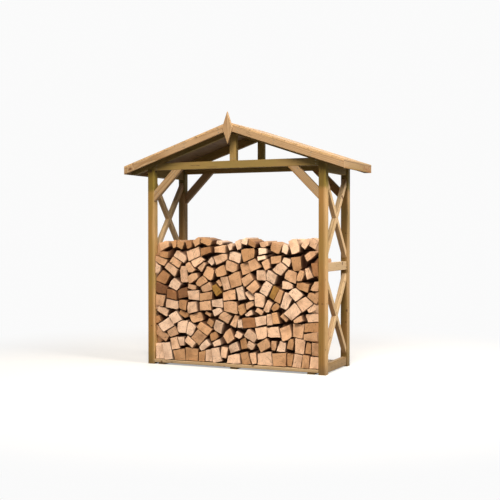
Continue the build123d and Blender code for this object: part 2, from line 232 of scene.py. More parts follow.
def add_node(tree, kind, settings=None, *values, **links):
    """Adds one node: settings are its properties, or its operation alone.

    A kind without "Node" in its name is a shader node. values go to its inputs in order; links go to
    inputs by name, with _ for a space, or by number as i6, and From and To to their Min and Max. A node
    stands for its first output that is in use.
    """
    made = tree.nodes.new(kind if "Node" in kind else f"ShaderNode{kind}")
    if isinstance(settings, str):
        settings = {"operation": settings}
    for key, value in (settings or {}).items():
        if key == "stops":
            ends = made.color_ramp.elements
            for element, (place, grey) in zip((ends[0], ends[1]), (value[0], value[-1])):
                element.position, element.color = place, (grey, grey, grey, 1)
            for place, grey in value[1:-1]:
                ends.new(place).color = (grey, grey, grey, 1)
        else:
            setattr(made, key, value)
    inputs = dict(enumerate(values))
    for key, value in links.items():
        if key in ("From", "To"):
            inputs[f"{key} Min"], inputs[f"{key} Max"] = value
        else:
            inputs[int(key[1:]) if key[0] == "i" and key[1:].isdigit() else key.replace("_", " ")] = value
    for key, value in inputs.items():
        if isinstance(value, bpy.types.Node):
            value = next(socket for socket in value.outputs if socket.enabled)
        if isinstance(value, bpy.types.NodeSocket):
            tree.links.new(value, made.inputs[key])
        else:
            made.inputs[key].default_value = value
    return made


def planed_softwood(look):
    """Pressure-treated planed redwood, cut from a log whose pith runs along Z at the group's origin.

    To the eye it gives warm tan wood with straight stripes along a face and arcs across an end, oval
    brown knots where a branch was cut, and the preservative's uneven olive over all.
    """
    if "Planed softwood" in bpy.data.node_groups:
        return bpy.data.node_groups["Planed softwood"]
    tree = bpy.data.node_groups.new("Planed softwood", "ShaderNodeTree")
    add = partial(add_node, tree)
    for name, kind in (("Place", "Vector"), ("Tone", "Float"), ("Olive", "Float"), ("Dirt", "Float"),
                       ("Stain", "Float"), ("Damp", "Float"), ("Sapwood", "Color")):
        tree.interface.new_socket(name, in_out="INPUT", socket_type=f"NodeSocket{kind}")
    for name, kind in (("Colour", "Color"), ("Roughness", "Float"), ("Height", "Float")):
        tree.interface.new_socket(name, in_out="OUTPUT", socket_type=f"NodeSocket{kind}")
    given = add("NodeGroupInput").outputs
    place = given["Place"]

    # Slow drift of the rings along the timber, 15 mm over about a metre
    stretched = add("VectorMath", "MULTIPLY", place, (7, 7, 1.1))
    drift = add("TexNoise", Vector=stretched, Scale=1.0, Detail=2.0)
    centred = add("VectorMath", "SUBTRACT", drift.outputs["Color"], (0.5, 0.5, 0.5))
    moved = add("VectorMath", "MULTIPLY_ADD", centred, (0.045, 0.045, 0), place)

    # One branch in each cell of 150 by 150 by 520 mm, running outwards from the pith
    cell = (0.15, 0.15, 0.52)
    cells = add("VectorMath", "DIVIDE", place, cell)
    branch = add("TexVoronoi", Vector=cells, Scale=1.0)
    centre = add("VectorMath", "MULTIPLY", branch.outputs["Position"], cell)
    outward = add("VectorMath", "MULTIPLY", centre, (1, 1, 0))
    direction = add("VectorMath", "NORMALIZE", outward)
    offset = add("VectorMath", "SUBTRACT", place, centre)
    along = add("VectorMath", "DOT_PRODUCT", offset, direction)
    shadow = add("VectorMath", "SCALE", direction, Scale=along)
    across = add("VectorMath", "SUBTRACT", offset, shadow)
    oval = add("VectorMath", "MULTIPLY", across, (1, 1, 0.7))
    distance = add("VectorMath", "LENGTH", oval)
    pick = add("SeparateColor", Color=branch.outputs["Color"])
    size = add("MapRange", Value=pick, To=(0.25 * look.knot_size, 1.35 * look.knot_size))
    reach = add("Math", "DIVIDE", distance, size)
    inside = add("MapRange", SMOOTH, Value=reach, From=(1.15, 0.8))
    swirl = add("MapRange", SMOOTH, Value=reach, From=(3.5, 0.6), To=(0, 1.4 * look.knot_size))

    # Growth rings: pale early wood that darkens slowly, then the sharp edge of the late wood
    flat = add("VectorMath", "MULTIPLY", moved, (1, 1, 0))
    radius = add("VectorMath", "LENGTH", flat)
    swept = add("Math", "ADD", radius, swirl)
    ring = add("Math", "FRACT", add("Math", "DIVIDE", swept, look.ring))
    stops = ((0.0, 0.0), (0.45, 0.2), (0.8, 0.95), (0.9, 1.0), (1.0, 0.0))
    late = add("ValToRGB", {"stops": stops}, Fac=ring)

    # Fibres 2 mm wide, coarser than the real ones so that they show, and drying checks
    fibre_place = add("VectorMath", "MULTIPLY", moved, (420, 420, 9))
    fibre = add("TexNoise", Vector=fibre_place, Scale=1.0, Detail=3.0)
    check_place = add("VectorMath", "MULTIPLY", moved, (24, 24, 1.3))
    check_noise = add("TexNoise", Vector=check_place, Scale=1.0, Detail=1.0)
    thin = add("Math", "ABSOLUTE", add("Math", "SUBTRACT", check_noise, 0.62))
    check = add("MapRange", Value=thin, From=(0.006, 0.001))

    # Broad bands of heartwood and sapwood, and the preservative's uneven olive
    broad_place = add("VectorMath", "MULTIPLY", place, (9, 9, 1.6))
    broad = add("TexNoise", Vector=broad_place, Scale=1.0, Detail=3.0)
    ringing = add("MapRange", Value=broad, From=(0.3, 0.7), To=(0.25, 0.8))
    tint_place = add("VectorMath", "MULTIPLY", place, (4, 4, 2.3))
    tint_noise = add("TexNoise", Vector=tint_place, Scale=1.0, Detail=2.0)
    tint = add("MapRange", Value=tint_noise, From=(0.3, 0.7), To=(0, given["Olive"]))
    hearty = add("MapRange", SMOOTH, Value=radius, From=(0.078, 0.05), To=(0, 0.9))

    # Rain splash on the lowest part of the timber, rusty spots 10 to 25 mm across, and painted shade of the
    # roof, with some damp, darker and greener at the tops of the posts
    world = add("TexCoord").outputs["Object"]
    height = add("SeparateXYZ", Vector=world).outputs["Z"]
    splash_noise = add("TexNoise", Vector=world, Scale=14.0, Detail=4.0)
    level = add("Math", "MULTIPLY_ADD", splash_noise, -0.18, height)
    soiled = add("MapRange", Value=level, From=(look.splash - 0.09, -0.09), To=(0, 0.6))
    spot_noise = add("TexNoise", Vector=world, Scale=48.0, Detail=3.0)
    spots = add("MapRange", Value=spot_noise, From=(0.42, 0.6))
    raised = add("Math", "MULTIPLY_ADD", splash_noise, 0.05, height)
    roof_shade_and_damp = add("MapRange", SMOOTH, Value=raised, From=(look.roof_shade_height, look.roof_shade_height + 0.05))

    # The colours over the sapwood, each with how much of it shows
    colour = given["Sapwood"]
    for share, over, blend in (
        (hearty, look.heart, "MIX"),
        (add("Math", "MULTIPLY", late, ringing), look.late, "MIX"),
        (tint, look.tint, "MIX"),
        (add("Math", "MULTIPLY", inside, 0.85), look.knot, "MIX"),
        (add("Math", "MULTIPLY", check, 0.75), linear("#3b2615"), "MIX"),
        (add("Math", "MULTIPLY", soiled, given["Dirt"]), look.soil, "MIX"),
        (add("Math", "MULTIPLY", spots, given["Stain"]), look.rust, "MIX"),
        # Painted shade of the roof, with some damp, darkens and greens the tops of the posts
        (add("Math", "MULTIPLY", roof_shade_and_damp, given["Damp"]), look.damp, "MULTIPLY"),
    ):
        colour = add("Mix", {**RGBA, "blend_type": blend}, i0=share, i6=colour, i7=over)

    # Tone of this timber, with the fibres' own light and dark
    fibre_tone = add("MapRange", Value=fibre, From=(0.25, 0.75), To=(0.88, 1.1))
    broad_tone = add("MapRange", Value=broad, From=(0.25, 0.75), To=(0.9, 1.08))
    mottle = add("Math", "MULTIPLY", fibre_tone, broad_tone)
    tone = add("Math", "MULTIPLY", mottle, given["Tone"])
    shaded = add("VectorMath", "SCALE", colour, Scale=tone)

    rough = add("MapRange", Value=fibre, To=(0.58, 0.82))
    relief = fibre
    for mark, depth in ((late, 0.35), (check, -1.5), (inside, 0.5)):
        relief = add("Math", "MULTIPLY_ADD", mark, depth, relief)
    add("NodeGroupOutput", Colour=shaded, Roughness=rough, Height=relief)
    return tree


def wood_shader(name, group, seat, sapwood, olive, dirt=1.0, stain=0.0, damp=0.0):
    """Joins the softwood group to a shader: seat gives where the timber lies in its log, and its tone."""
    material, add = new_material(name)
    place, tone = seat(add)
    if stain:
        # Worst at the rear end
        axes = add("SeparateXYZ", Vector=add("TexCoord").outputs["Object"])
        stain = add("MapRange", Value=axes.outputs["Y"], From=(0.3 * FRONT, REAR), To=(0.05 * stain, stain))
    wood = add("Group", {"node_tree": group}, Place=place, Tone=tone, Olive=olive, Dirt=dirt, Stain=stain,
               Damp=damp, Sapwood=sapwood).outputs
    bump = add("Bump", Strength=0.5, Distance=0.0009, Height=wood["Height"])
    shader = add("BsdfPrincipled", Base_Color=wood["Colour"], Roughness=wood["Roughness"], Normal=bump,
                 IOR=1.5, Specular_IOR_Level=0.35)
    add("OutputMaterial", Surface=shader)
    return material


def new_material(name):
    """A material with an empty tree, and add_node for that tree."""
    material = bpy.data.materials.new(name)
    material.use_nodes = True
    material.node_tree.nodes.clear()
    return material, partial(add_node, material.node_tree)


def along_timber(direction):
    """Rotation that brings a timber's direction to Z."""
    grain = Vector(direction).normalized()
    side = grain.orthogonal().normalized()
    return Matrix((side, grain.cross(side), grain))


def grain_direction(node):
    """Which way the grain of a framing timber runs, from its name and box."""
    side = -1 if node.endswith("left") else 1
    lo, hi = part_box(node)
    if node.startswith("tie_beam"):
        return (1, 0, 0)
    if node.startswith(("side_rail", "fascia", "floor_bearer")):
        return (0, 1, 0)
    if node.startswith("knee_brace"):
        return (-side, 0, 1)
    if node.startswith(("rafter", "bargeboard")):
        return (side * cos(PITCH), 0, -sin(PITCH))
    if node.startswith("cross_brace"):
        run, rise = hi.y - lo.y, hi.z - lo.z - BRACE_ENDS
        return (0, run if "rising" in node else -run, rise)
    return (0, 0, 1)


def dress(node, material):
    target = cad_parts[node]
    target.data.materials.clear()
    target.data.materials.append(material)


def timber_material(node, group, look, rng):
    """Planed softwood for one framing timber, cut from its own place in a log."""
    wood, olive, tone = next(rest for start, *rest in TIMBERS if node.startswith(start))
    post = node.startswith("post")
    turn = along_timber(grain_direction(node))
    lo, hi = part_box(node)
    # The posts show darker heartwood on their front faces and paler sapwood on their right ones, placed so
    # that the right faces look lit: partly painted light
    angle = rng.uniform(0, 2 * pi)
    away = Vector((0.45, 0.9, 0)) if post else Vector((cos(angle), sin(angle), 0))
    pith = turn @ away.normalized() * 0.075 if post else away * rng.uniform(0.06, 0.12)
    if node.startswith("cross_brace"):
        pith *= 1.6
    shift = pith + Vector((0, 0, rng.uniform(3, 30))) - turn @ ((lo + hi) / 2)
    tone *= rng.uniform(0.94, 1.06)

    def seat(add):
        where = add("TexCoord").outputs["Object"]
        return add("Mapping", Vector=where, Location=shift, Rotation=turn.to_euler()), tone

    stain = 1.0 if node == "fascia_right" else 0.0
    # Posts get the painted shade of the roof on their tops, with some damp
    damp = 1.0 if post else 0.0
    dress(node, wood_shader(f"Planed softwood {node}", group, seat, getattr(look, wood), olive,
                            stain=stain, damp=damp))


def board_material(name, group, sapwood, turn, pitch, start, spread, under=1.0, ends=1.0, dirt=1.0):
    """Planed softwood for boards side by side: every board is cut from another place in a log.

    turn brings the boards' width to X and their length to Y; pitch is their spacing from start;
    under is the tone of their undersides, a painted shade, and ends that of their front ends, a painted
    light from the sky. Their joints show as dark lines.
    """
    def seat(add):
        where = add("TexCoord").outputs
        turned = add("Mapping", Vector=where["Object"], Rotation=turn)
        axes = add("SeparateXYZ", Vector=turned).outputs
        across = add("Math", "DIVIDE", add("Math", "SUBTRACT", axes["X"], start), pitch)
        index = add("Math", "FLOOR", across)
        within = add("Math", "SUBTRACT", across, index)
        aside = add("Math", "MULTIPLY", add("Math", "SUBTRACT", within, 0.5), pitch)
        chance = add("TexWhiteNoise", {"noise_dimensions": "1D"}, W=index).outputs
        local = add("CombineXYZ", X=aside, Y=axes["Z"], Z=axes["Y"])
        scatter = add("VectorMath", "MULTIPLY_ADD", chance["Color"], (0.12, 0.05, 23), (-0.06, 0.03, 0))
        place = add("VectorMath", "ADD", local, scatter)

        own = add("MapRange", Value=chance["Value"], To=(1 - spread, 1 + 0.6 * spread))
        from_middle = add("Math", "ABSOLUTE", aside)
        joint = add("MapRange", Value=from_middle, From=(pitch / 2 - 0.003, pitch / 2 - 0.001), To=(1, 0.4))
        facing = add("SeparateXYZ", Vector=where["Normal"]).outputs
        # Painted light on the front ends and painted shade on the undersides
        front = add("MapRange", Value=facing["Y"], From=(-0.9, -0.6), To=(ends, 1))
        shade = add("MapRange", Value=facing["Z"], From=(-0.7, -0.4), To=(under, 1))
        lit = add("Math", "MULTIPLY", shade, front)
        return place, add("Math", "MULTIPLY", add("Math", "MULTIPLY", own, lit), joint)

    return wood_shader(name, group, seat, sapwood, 0.2, dirt)


class LOGSTORE_OT_dress_frame(bpy.types.Operator):
    """Gives posts, beams, braces, rails, trim and floor their planed softwood"""
    bl_idname = "log_store.dress_frame"
    bl_label = "Dress the frame"

    def execute(self, context):
        look = context.scene.log_store_timber
        group = planed_softwood(look)
        rng = Random(CUTTING_SEED)
        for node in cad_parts:
            if not node.startswith(("firewood", "roof_boards", "floor_slats")):
                timber_material(node, group, look, rng)
        turn = Matrix(((0, 1, 0), (-1, 0, 0), (0, 0, 1))).to_euler()
        dress("floor_slats", board_material("Planed softwood slats", group, look.fresh, turn, SLAT_PITCH,
                                            SLATS_LO.y - SLAT_GAP / 2, 0.12, dirt=0.15))
        return {"FINISHED"}


class LOGSTORE_OT_dress_roof(bpy.types.Operator):
    """Gives the tongued and grooved roof boards their wood, board by board"""
    bl_idname = "log_store.dress_roof"
    bl_label = "Dress the roof"

    def execute(self, context):
        look = context.scene.log_store_timber
        group = planed_softwood(look)
        for name, side in (("left", -1), ("right", 1)):
            down = Vector((side * cos(PITCH), 0, -sin(PITCH)))
            outward = Vector((side * sin(PITCH), 0, cos(PITCH)))
            turn = Matrix((down, outward.cross(down), outward)).to_euler()
            # Undersides painted darker as shade, front ends painted paler as light from the sky
            dress(f"roof_boards_{name}", board_material(
                f"Planed softwood roof {name}", group, look.board, turn, ROOF_PITCH, -RIDGE_Z * sin(PITCH),
                0.12, under=0.5, ends=1.45))
        return {"FINISHED"}


def sides_of(outline):
    """Each side of a closed outline as its two ends."""
    return zip(outline, outline[1:] + outline[:1])


def clip(outline, px, pz, nx, nz):
    """The part of a convex outline behind the line through (px, pz) with outward normal (nx, nz)."""
    kept = []
    for (ax, az), (bx, bz) in sides_of(outline):
        da = (ax - px) * nx + (az - pz) * nz
        db = (bx - px) * nx + (bz - pz) * nz
        if da <= 0:
            kept.append((ax, az))
        if da * db < 0:
            share = da / (da - db)
            kept.append((ax + share * (bx - ax), az + share * (bz - az)))
    return kept


def middle(outline):
    return [sum(values) / len(outline) for values in zip(*outline)]


def area(outline):
    return sum(ax * bz - bx * az for (ax, az), (bx, bz) in sides_of(outline)) / 2


def holds(outline, x, z):
    """Whether a point lies within a convex outline."""
    return all((bx - ax) * (z - az) > (bz - az) * (x - ax) for (ax, az), (bx, bz) in sides_of(outline))


def stack_top(x, look):
    """Height of the stack's uneven top, straight between the heights given across it."""
    place = (x / INNER_X + 1) / 2 * (len(TOPS) - 1)
    index = min(int(place), len(TOPS) - 2)
    share = place - index
    return SLATS_HI.z + look.height + (1 - share) * TOPS[index] + share * TOPS[index + 1]


def split_up(room, rng, look):
    """Logs split from a room, each cut about square to the longest side, until they are small."""
    if area(room) < rng.uniform(look.small, look.large):
        return [room]
    start, end = max(sides_of(room), key=lambda side: dist(*side))
    angle = atan2(end[1] - start[1], end[0] - start[0]) + radians(rng.uniform(-CUT_SWING, CUT_SWING))
    share = rng.uniform(*CUT)
    px, pz = [(a + share * (b - a) + c) / 2 for a, b, c in zip(start, end, middle(room))]
    nx, nz = cos(angle), sin(angle)
    near, far = clip(room, px, pz, nx, nz), clip(room, px, pz, -nx, -nz)
    return split_up(near, rng, look) + split_up(far, rng, look)


def ridged(outline, rng, look):
    """A log on top of the stack, cut to a ridge at the stack's top."""
    left, right = min(x for x, _ in outline), max(x for x, _ in outline)
    spots = [left + share * (right - left) for share in RIDGES]
    x = max(spots, key=lambda spot: stack_top(spot, look))
    for end, way in ((left, -1), (right, 1)):
        fall = stack_top(x, look) - stack_top(end, look) + rng.uniform(*SHOULDER)
        angle = min(max(atan2(fall, abs(end - x)), radians(SLOPE[0])), radians(SLOPE[1]))
        outline = clip(outline, x, stack_top(x, look), way * sin(angle), cos(angle))
    return outline


def stack_rooms(look):
    """Room for each log, with whether it lies on top: heaps tile the stack and are split into logs."""
    rng = Random(look.seed)
    reach = INNER_X - FIT
    floor = SLATS_HI.z
    centres = []
    for row in range(look.up):
        for column in range(look.across):
            x = column + 0.5 + (STAGGER if row % 2 else -STAGGER) + rng.uniform(-JITTER, JITTER)
            z = row + 0.5 + rng.uniform(-JITTER, JITTER)
            centres.append((-reach + x * 2 * reach / look.across, floor + z * look.height / look.up))
    ceiling = floor + look.height + max(TOPS)
    rooms = []
    for x, z in centres:
        heap = [(-reach, floor), (reach, floor), (reach, ceiling), (-reach, ceiling)]
        for other_x, other_z in centres:
            apart = dist((x, z), (other_x, other_z))
            if apart > 0:
                nx, nz = (other_x - x) / apart, (other_z - z) / apart
                heap = clip(heap, (x + other_x) / 2, (z + other_z) / 2, nx, nz)
        left, right = min(px for px, _ in heap), max(px for px, _ in heap)
        highest = max(stack_top(left + eighth / 8 * (right - left), look) for eighth in range(9))
        heap = clip(heap, x, highest, 0, 1)
        for room in split_up(heap, rng, look):
            on_top = max(pz for _, pz in room) > highest - FIT
            rooms.append((ridged(room, rng, look) if on_top else room, on_top))
    return rooms


def block_section(room, on_top, rng, look):
    """The outline of an end: the largest turned block its room holds, overgrown and cut back to the room.

    What the block leaves free is the dark gaps and holes between the logs. Blocks on top lie on a corner.
    """
    cx, cz = middle(room)
    sides = []
    for (ax, az), (bx, bz) in sides_of(room):
        angle = atan2(ax - bx, bz - az)
        sides.append((angle, (ax - cx) * cos(angle) + (az - cz) * sin(angle)))
    largest = (0, 0, 0, 0)
    for step in range(3, 10) if on_top else range(12):
        turn = step * pi / TURNS
        for shape in SHAPES:
            half = min(away / (abs(cos(side - turn)) + shape * abs(sin(side - turn)))
                       for side, away in sides)
            largest = max(largest, (shape * half * half * rng.uniform(0.85, 1), turn, half, shape * half))
    _, turn, half_width, half_height = largest
    section = room
    for side, away in sides:
        near = away - look.gap * rng.uniform(0.2, 0.8)
        angle = side + rng.uniform(-look.slant, look.slant)
        section = clip(section, cx + near * cos(side), cz + near * sin(side), cos(angle), sin(angle))
    for quarter, half in enumerate((half_width, half_height, half_width, half_height)):
        angle = turn + quarter * pi / 2 + rng.uniform(-look.slant, look.slant)
        near = half * rng.uniform(0.9, 1.1) * look.fill
        section = clip(section, cx + near * cos(angle), cz + near * sin(angle), cos(angle), sin(angle))
    return section


def reach_at(outline, centre, angle):
    """Distance from a centre inside a convex outline to its edge in one direction."""
    dx, dz = cos(angle), sin(angle)
    best = 1.0
    for (ax, az), (bx, bz) in sides_of(outline):
        ex, ez = bx - ax, bz - az
        cross = dx * ez - dz * ex
        if abs(cross) < 1e-12:
            continue
        t = ((ax - centre[0]) * ez - (az - centre[1]) * ex) / cross
        u = ((ax - centre[0]) * dz - (az - centre[1]) * dx) / cross
        if t > 0 and -1e-6 <= u <= 1 + 1e-6:
            best = min(best, t)
    return best


def bearing(point, centre):
    return atan2(point[1] - centre[1], point[0] - centre[0])


def log_rings(room, on_top, at_end, y_front, y_rear, rng, look):
    """One split log as rings of points from its sawn front end to its rear end.

    In the middle of the stack the log fills its room, so no light passes between the logs; only the
    upper side of a log on top keeps the block's own outline. Towards a post it fills its room sooner.
    at_end is -1 or 1 for a log against the left or right post.
    """
    front, rear = [block_section(room, on_top, rng, look) for _ in range(2)]
    centre = middle(front)
    marks = sorted(bearing(corner, centre) for corner in front)
    others = [bearing(corner, centre) for corner in rear]
    # A point at each corner of the room, and at each other corner and each 0.36 rad that isn't too near
    angles = [bearing(corner, centre) for corner in room]
    spaced = [-pi + 0.36 * step for step in range(18)]
    for nearest, more in ((0.003, marks), (0.03, others), (0.22, spaced)):
        for angle in more:
            if min(abs((angle - other + pi) % (2 * pi) - pi) for other in angles) > nearest:
                angles.append(angle)
    angles.sort()
    # The side of the front end that each point lies on, its dent, and the slopes of both sawn ends
    edges = [sum(angle > mark - 0.004 for mark in marks) % len(marks) for angle in angles]
    dents = [rng.uniform(*DENT) for _ in angles]
    slopes = [tan(look.tilt * rng.uniform(-1, 1) * rng.random()) for _ in range(4)]
    # Each ring: distance from that end or from the middle, outline, share of the room, how far it draws in
    stations = (
        (0.0, front, 0, 0.0016), (0.0009, front, 0, 0.0004), (0.005, front, 0, 0), (0.018, front, 0.05, 0),
        (0.05, front, 0.2, 0), (-0.015, front, 1, 0), (0.015, rear, 1, 0), (-0.05, rear, 0.3, 0),
        (-0.003, rear, 0, 0), (0.0, rear, 0, 0.0016),
    )
    rings = []
    for depth, outline, blend, back in stations:
        ring = []
        for angle, dent in zip(angles, dents):
            room_reach = reach_at(room, centre, angle)
            # The first centimetre of a log stays clear of the post
            towards_post = min(max(3 * at_end * cos(angle), 0), 1) if 0.01 < abs(depth) else 0
            share = max(blend, towards_post) * (1 - on_top * min(max(2 * sin(angle), 0), 1))
            away = (1 - share) * reach_at(outline, centre, angle) + share * room_reach
            if blend < 1:
                away += dent * (1 + 0.5 * rng.uniform(-1, 1)) - back
            away = min(away, room_reach)
            x, z = centre[0] + away * cos(angle), centre[1] + away * sin(angle)
            if blend == 1:
                y = (PILE_FRONT + PILE_REAR) / 2 + depth
            elif outline is front:
                y = y_front + depth + slopes[0] * (x - centre[0]) + slopes[1] * (z - centre[1])
            else:
                y = y_rear + depth + slopes[2] * (x - centre[0]) + slopes[3] * (z - centre[1])
            ring.append((x, min(max(y, PILE_FRONT), PILE_REAR), z))
        rings.append(ring)
    return rings, edges, centre


def log_colour(room, look, rng):
    """The log's own colour: two damp ones lie on the left and two olive ones in the middle, as found."""
    kinds = (look.dark, look.brown, look.tan, look.pale)
    place = rng.random() ** 0.5 * (len(kinds) - 1)
    base, other = kinds[int(place)], kinds[int(place) + 1]
    share = place - int(place)
    for x, z, colour in ((-0.75, 0.71, look.stained), (-0.6, 0.72, look.stained), (-0.18, 0.72, look.olive),
                         (0.4, 0.78, look.olive)):
        if holds(room, x, z):
            base, other, share = colour, look.brown, 0.3 * share
    return [(1 - share) * a + share * b for a, b in zip(base, other)]


def build_logs(name, logs, look, rng):
    """Makes one mesh of split logs, with attributes that tell the wood where it was in its tree."""
    points, faces, places, colours, inside = [], [], [], [], []
    bark, sawn = [], []
    for room, on_top, y_front, y_rear in logs:
        reach = max((x for x, _ in room), key=abs)
        at_end = (abs(reach) > INNER_X - 2 * FIT) * (1 if reach > 0 else -1)
        rings, edges, centre = log_rings(room, on_top, at_end, y_front, y_rear, rng, look)
        count, first = len(rings[0]), len(points)
        turn = rng.uniform(0, 2 * pi)
        pith_reach = rng.uniform(0.02, 0.1)
        pith = (centre[0] + pith_reach * cos(turn), centre[1] + pith_reach * sin(turn))
        colour = log_colour(room, look, rng)
        start = rng.uniform(0, 40)
        # A few logs, but none on top, have bark on the side that faces away from their pith
        bark_edge = -1
        if not on_top and rng.random() < FEW:
            away = [(x - centre[0]) * cos(turn) + (z - centre[1]) * sin(turn) for x, _, z in rings[2]]
            bark_edge = edges[away.index(min(away))]
        # How much painted shade, with some dust, lies on each ring; sides that face up on top, or face a
        # post, stay clear of it
        for ring, depth in zip(rings, (0, 0, 0.15, 0.6, 0.95, 1, 1, 0.8, 0, 0)):
            points.extend(ring)
            for point in ring:
                angle = bearing(point[::2], centre)
                bare = max(on_top * sin(angle), at_end * cos(angle))
                inside.append(depth * min(max(1.3 - 2 * bare, 0), 1))
        caps = []
        for ring in (rings[0], rings[-1]):
            caps.append(len(points))
            points.append(tuple(sum(values) / count for values in zip(*ring)))
            inside.append(0.0)
        for x, y, z in points[first:]:
            u, v = x - pith[0], z - pith[1]
            places.append((u * cos(turn) + v * sin(turn), v * cos(turn) - u * sin(turn), y + start))
        for step in range(len(rings) - 1):
            for index in range(count):
                a = first + step * count + index
                b = first + step * count + (index + 1) % count
                faces.append((a, a + count, b + count, b))
                bark.append(1.0 if edges[index] == bark_edge else 0.0)
                sawn.append(1.0 if step in (0, len(rings) - 2) else 0.0)
        last = first + (len(rings) - 1) * count
        for index in range(count):
            following = (index + 1) % count
            faces.append((caps[0], first + index, first + following))
            faces.append((caps[1], last + following, last + index))
            bark.extend((0.0, 0.0))
            sawn.extend((1.0, 1.0))
        colours.extend(colour * (len(points) - first))
    mesh = bpy.data.meshes.new(name)
    mesh.from_pydata(points, [], faces)
    for label, kind, domain, field, values in (
        ("place_in_tree", "FLOAT_VECTOR", "POINT", "vector", [c for place in places for c in place]),
        ("log_colour", "FLOAT_COLOR", "POINT", "color", colours),
        ("inside", "FLOAT", "POINT", "value", inside),
        ("bark", "FLOAT", "FACE", "value", bark),
        ("sawn", "FLOAT", "FACE", "value", sawn),
    ):
        mesh.attributes.new(label, kind, domain).data.foreach_set(field, values)
    mesh.polygons.foreach_set("use_smooth", [True] * len(faces))
    # Sharper bends than this are the edges of the split wood
    mesh.set_sharp_from_angle(angle=radians(28))
    mesh.update()
    logs = bpy.data.objects.new(name, mesh)
    bpy.context.scene.collection.objects.link(logs)
    return logs


def split_hardwood(look):
    """Kiln-dried split hardwood.

    To the eye it gives pale sawn ends with faint ring arcs and drying cracks, long torn fibres on the
    split sides, painted darker as shade, rough dark bark on the rounded one and painted shade, with some
    dust, in the hollows between the logs.
    """
    material, add = new_material("Split hardwood logs")
    place, own, bark, sawn, inside = [
        add("Attribute", {"attribute_name": name}).outputs[kind] for name, kind in (
            ("place_in_tree", "Vector"), ("log_colour", "Color"), ("bark", "Fac"), ("sawn", "Fac"),
            ("inside", "Fac"))]

    drift = add("TexNoise", Vector=place, Scale=16.0, Detail=2.0)
    centred = add("VectorMath", "SUBTRACT", drift.outputs["Color"], (0.5, 0.5, 0.5))
    moved = add("VectorMath", "MULTIPLY_ADD", centred, (0.016, 0.016, 0), place)
    axes = add("SeparateXYZ", Vector=moved).outputs
    flat = add("VectorMath", "MULTIPLY", moved, (1, 1, 0))
    radius = add("VectorMath", "LENGTH", flat)

    # Rings 7 mm apart, wider than real ones so that they show on the sawn ends
    ring = add("Math", "FRACT", add("Math", "DIVIDE", radius, 0.007))
    late = add("ValToRGB", {"stops": ((0.0, 0.0), (0.6, 0.35), (0.88, 1.0), (1.0, 0.0))}, Fac=ring)
    # Long torn fibres on the split sides, 3 mm wide
    stretched = add("VectorMath", "MULTIPLY", moved, (300, 300, 11))
    fibre = add("TexNoise", Vector=stretched, Scale=1.0, Detail=3.0)
    # Blotches 30 to 60 mm across
    blotch = add("TexNoise", Vector=place, Scale=26.0, Detail=3.0, Roughness=0.6)

    # A few drying cracks that run outwards from the pith over a sawn end
    turn = add("Math", "ARCTAN2", axes["Y"], axes["X"])
    ray_x, ray_y, ray_z = [add("Math", "MULTIPLY", value, factor) for value, factor in (
        (turn, 5.0), (radius, 6.0), (axes["Z"], 1.3))]
    ray_place = add("CombineXYZ", X=ray_x, Y=ray_y, Z=ray_z)
    ray = add("TexNoise", Vector=ray_place, Scale=1.0, Detail=1.0)
    thin = add("Math", "ABSOLUTE", add("Math", "SUBTRACT", ray, 0.56))
    crack_line = add("MapRange", Value=thin, From=(0.012, 0.003))
    crack = add("Math", "MULTIPLY", crack_line, sawn)

    core = add("MapRange", SMOOTH, Value=radius, From=(0.05, 0.02), To=(0, 0.25))
    late_share = add("Math", "MULTIPLY_ADD", late, 0.2, core)
    ringed = add("Mix", RGBA, i0=late_share, i6=own, i7=look.heart)
    crack_share = add("Math", "MULTIPLY", crack, 0.7)
    cracked = add("Mix", RGBA, i0=crack_share, i6=ringed, i7=linear("#3a2413"))
    fibre_tone = add("MapRange", Value=fibre, From=(0.25, 0.75), To=(0.88, 1.12))
    blotch_tone = add("MapRange", Value=blotch, From=(0.3, 0.7), To=(0.88, 1.1))
    # Split sides painted darker than the sawn ends: painted shade, since they lie in the gaps
    painted_side_shade = add("MapRange", Value=sawn, To=(0.72, 1.0))
    mottle = add("Math", "MULTIPLY", fibre_tone, blotch_tone)
    tone = add("Math", "MULTIPLY", mottle, painted_side_shade)
    lit = add("VectorMath", "SCALE", cracked, Scale=tone)

    # Bark in plates about 15 mm across, and painted shade, with some dust, deep between the logs
    bark_noise = add("TexNoise", Vector=place, Scale=70.0, Detail=5.0, Roughness=0.7)
    bark_light = add("MapRange", Value=bark_noise, From=(0.3, 0.7), To=(0.5, 1.7))
    bark_colour = add("VectorMath", "SCALE", look.bark[:3], Scale=bark_light)
    barked = add("Mix", RGBA, i0=bark, i6=lit, i7=bark_colour)
    # Painted shade, with some dust, deep between the logs
    dust_and_shade_share = add("Math", "MULTIPLY", inside, 0.92)
    dusty_and_shaded = add("Mix", RGBA, i0=dust_and_shade_share, i6=barked, i7=look.dust_and_shade)

    rough = add("MapRange", Value=fibre, To=(0.7, 0.95))
    relief = fibre
    for mark, depth in ((late, 0.2), (crack, -1.5), (add("Math", "MULTIPLY", bark, bark_noise), 3.0)):
        relief = add("Math", "MULTIPLY_ADD", mark, depth, relief)
    bump = add("Bump", Strength=0.6, Distance=0.0016, Height=relief)
    shader = add("BsdfPrincipled", Base_Color=dusty_and_shaded, Roughness=rough, Normal=bump, IOR=1.5,
                 Specular_IOR_Level=0.25)
    add("OutputMaterial", Surface=shader)
    return material


